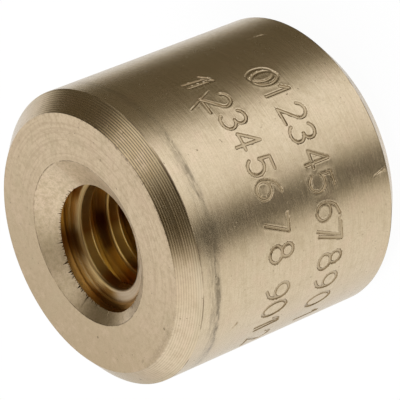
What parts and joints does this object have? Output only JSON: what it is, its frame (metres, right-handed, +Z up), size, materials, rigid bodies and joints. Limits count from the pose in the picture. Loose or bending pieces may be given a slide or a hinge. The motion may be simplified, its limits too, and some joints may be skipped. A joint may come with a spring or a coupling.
{
  "type": "lead screw nut",
  "caption": "Plain cylindrical lead screw nut turned from bronze, with chamfered rims, countersunk ends and a right-hand trapezoidal thread tapped through.",
  "frame": {"origin": "centre of the lower end face, which is the end the picture hides", "axes": "+Z up the thread's axis to the countersunk end that the picture shows; the middle of the thread's groove crosses Z = 0 at 300 degrees from +X towards +Y, and the camera is on the -Y side"},
  "size_m": [0.026, 0.026, 0.024],
  "materials": {
    "bronze": "satin, as turned, with fine tool marks and light handling scratches"
  },
  "bodies": {
    "root": {"nut": "bronze"}
  },
  "joints": []
}
